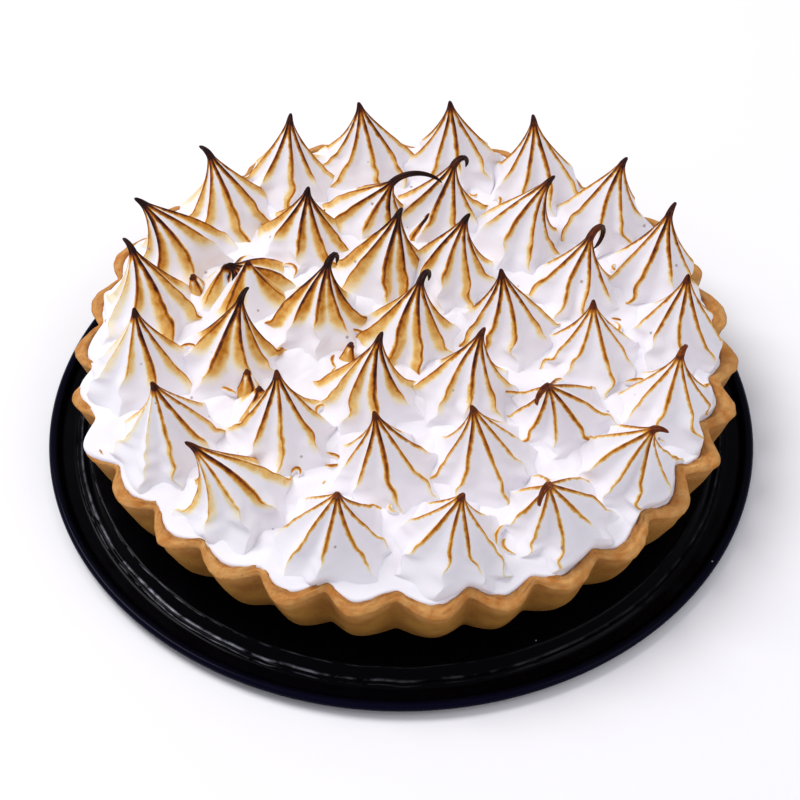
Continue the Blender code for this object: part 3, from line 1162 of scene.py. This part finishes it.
@dataclass
class CakeBase:
    """The black formed base: a raised plateau, a flange with a broken bead, and an upturned lip."""

    radius: float = 0.1397
    wall: float = 0.0012
    lip_top: float = 0.0058
    flange_top: float = 0.0032
    plateau_top: float = 0.0080
    plateau_radius: float = 0.1235
    bevel: float = 0.0030
    bevel_top: float = 0.0044
    foot_inner: float = 0.1295
    foot_outer: float = 0.1345
    lip_width: float = 0.0032
    lip_round: float = 0.0010
    corner_round: float = 0.0008
    columns: int = 480
    corner_steps: int = 5
    flat_steps: int = 6
    beads: int = 16
    bead_height: float = 0.0005

    def corners(self) -> list[tuple[float, float]]:
        """Lists the corners of the shell's section.

        Returns:
            The radius and height of each, from the middle of the top round to the underside.
        """
        wall, lip = self.wall, self.radius
        return [
            (0.0, self.plateau_top),
            (self.plateau_radius, self.plateau_top),
            (self.plateau_radius + self.bevel, self.bevel_top),
            (self.foot_inner, self.flange_top),
            (self.foot_outer, self.flange_top),
            (lip - self.lip_width, self.lip_top),
            (lip - self.lip_round, self.lip_top),
            (lip, self.lip_top - self.lip_round),
            (lip, self.lip_top - 2 * wall),
            (lip - 2 * wall, self.lip_top - 2 * wall - self.lip_round),
            (self.foot_outer + wall / 2, 0.0),
            (self.foot_inner - wall / 2, 0.0),
            (self.plateau_radius + self.bevel - wall, self.bevel_top - wall),
            (self.plateau_radius - wall, self.plateau_top - wall),
            (0.0, self.plateau_top - wall),
        ]

    def section(self) -> list[tuple[float, float]]:
        """Rounds the section's corners and divides its straight stretches.

        Returns:
            The radius and height of each point, in the corners' order.
        """
        points = [Vector(corner) for corner in self.corners()]
        line = [points[0]]
        for before, corner, after in zip(points, points[1:], points[2:]):
            cut = min(self.corner_round, 0.4 * (corner - before).length, 0.4 * (after - corner).length)
            enter = corner + (before - corner).normalized() * cut
            leave = corner + (after - corner).normalized() * cut
            for step in range(1, self.flat_steps):
                line.append(line[-1].lerp(enter, 1 / (self.flat_steps - step + 1)))
            for step in range(self.corner_steps + 1):
                share = step / self.corner_steps
                line.append(enter.lerp(corner, share).lerp(corner.lerp(leave, share), share))
        line.append(points[-1])
        return [(point.x, point.y) for point in line]

    def build(self) -> bpy.types.Object:
        """Builds the base and dresses it as black polystyrene.

        Returns:
            The piece.
        """
        section = self.section()
        sheet = turned_sheet(len(section), self.columns)
        lip = sheet.verts.layers.float.new("lip")
        painted_glint = sheet.verts.layers.float.new("painted_glint")
        reach = sheet.verts.layers.float.new("reach")
        bead_at = (self.plateau_radius + self.bevel + self.foot_inner) / 2
        top_rows = len(section) / 2
        for vert in sheet.verts:
            angle = math.atan2(vert.co.y, vert.co.x) % math.tau
            row = round(vert.co.z)
            radius, height = section[row]
            above = row < top_rows
            along = angle * self.beads / math.tau
            solid = smooth(abs(along % 1 - 0.5), 0.5, 0.44)
            bead = solid * hill(radius - bead_at, 0.0008) * above
            # Painted glints: the pale lines show mostly on the lower left and a little at the front, where
            # the lights glance off.
            lower_left = hill(round_about(angle, math.radians(223)), 0.42)
            front = hill(round_about(angle, math.radians(245)), 0.60)
            vert[painted_glint] = above * (0.04 + 0.85 * lower_left + 0.15 * front)
            vert[reach] = radius / MM
            # The outer 4 mm of the lip, where the painted bluish sheen goes.
            vert[lip] = smooth(radius, self.radius - 0.004, self.radius)
            vert.co = (radius * math.cos(angle), radius * math.sin(angle), height + self.bead_height * bead)
        piece = finish_piece("cake_base_formed", sheet, BlackPolystyrene().make(), "cake_base")
        return piece


@dataclass
class Studio:
    """A plain pale floor, soft light, and the camera at the photograph's angle."""

    elevation: float = math.radians(47.27)
    distance: float = 0.9
    pixels_per_metre: float = 2503.1
    sensor: float = 36.0
    image: int = 800
    # Where the pie's middle falls in the picture.
    centre_px: tuple[float, float] = (405.4, 402.4)
    floor_size: float = 6.0
    floor: str = "FAFAFB"
    room: str = "EFEEF9"
    room_strength: float = 0.55
    # Each light's name, place, width and power.
    lamps: tuple = (("window", (-0.9, 0.5, 1.5), 1.0, 22.0), ("fill", (1.2, -0.6, 1.2), 1.2, 5.0))

    def build(self, pie: Pie) -> None:
        """Builds the floor, the lights and the camera.

        Args:
            pie: the pie, whose middle the camera is set from.
        """
        self.build_camera(pie)
        self.build_floor()
        self.build_lights()

    def build_camera(self, pie: Pie) -> None:
        """Aims the camera so that the pie's middle falls where the photograph has it.

        Args:
            pie: the pie.
        """
        back = Vector((0, -math.cos(self.elevation), math.sin(self.elevation)))
        up = Vector((0, math.sin(self.elevation), math.cos(self.elevation)))
        half = self.image / 2
        aim = pie.place(Vector((0, 0, 0)))
        aim.x -= (self.centre_px[0] - half) / self.pixels_per_metre
        aim += up * (self.centre_px[1] - half) / self.pixels_per_metre
        data = bpy.data.cameras.new("camera")
        data.sensor_width = self.sensor
        data.lens = self.pixels_per_metre * self.distance * self.sensor / self.image
        camera = bpy.data.objects.new("camera", data)
        camera.location = aim + back * self.distance
        camera.rotation_euler = (math.pi / 2 - self.elevation, 0, 0)
        bpy.context.scene.collection.objects.link(camera)
        bpy.context.scene.camera = camera

    def build_floor(self) -> None:
        """Lays a large pale floor under the cake base."""
        sheet = bmesh.new()
        bmesh.ops.create_grid(sheet, x_segments=1, y_segments=1, size=self.floor_size / 2)
        data = bpy.data.meshes.new("floor")
        sheet.to_mesh(data)
        sheet.free()
        material, _, shader = new_material("pale_floor")
        shader.inputs["Base Color"].default_value = linear(self.floor)
        shader.inputs["Roughness"].default_value = 0.9
        data.materials.append(material)
        floor = bpy.data.objects.new("floor", data)
        bpy.context.scene.collection.objects.link(floor)

    def build_lights(self) -> None:
        """Hangs a wide soft light over the pie, a weaker one on the right, and a bright room."""
        world = bpy.data.worlds.new("room")
        world.use_nodes = True
        background = world.node_tree.nodes["Background"]
        background.inputs["Color"].default_value = linear(self.room)
        background.inputs["Strength"].default_value = self.room_strength
        bpy.context.scene.world = world
        for name, place, size, power in self.lamps:
            data = bpy.data.lights.new(name, "AREA")
            data.shape = "DISK"
            data.size = size
            data.energy = power
            light = bpy.data.objects.new(name, data)
            light.location = place
            light.rotation_mode = "QUATERNION"
            light.rotation_quaternion = (-Vector(place)).to_track_quat("-Z", "Y")
            bpy.context.scene.collection.objects.link(light)


def main() -> None:
    """Builds the scene in order."""
    logging.basicConfig(level=logging.INFO, format="%(message)s")
    bpy.context.scene.view_settings.view_transform = "Standard"
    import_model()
    pie = Pie()
    Studio().build(pie)
    CakeBase().build()
    Crust(pie).build()
    Meringue(pie).build()


if __name__ == "__main__":
    main()
